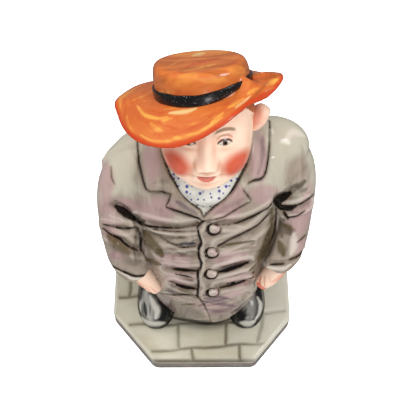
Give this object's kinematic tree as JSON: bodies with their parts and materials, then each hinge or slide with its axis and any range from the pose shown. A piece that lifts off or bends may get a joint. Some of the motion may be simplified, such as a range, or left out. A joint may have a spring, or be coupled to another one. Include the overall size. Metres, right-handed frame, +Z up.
{
  "type": "figurine menu holder",
  "caption": "Glazed porcelain table figure of a stout man in a hat and long coat, on a paved octagonal base, holding a menu card in a slot in its back.",
  "frame": {"origin": "centre of the flat underside of the base", "axes": "+Z up through the hat, +X to the viewer's right as the figure faces the viewer, -Y the side the figure faces, +Y its back with the card slot"},
  "size_m": [0.0683, 0.07, 0.1349],
  "materials": {
    "glazed_porcelain": "gloss glaze over hand painting"
  },
  "bodies": {
    "root": {"menu_holder_figure": "glazed_porcelain"}
  },
  "joints": []
}
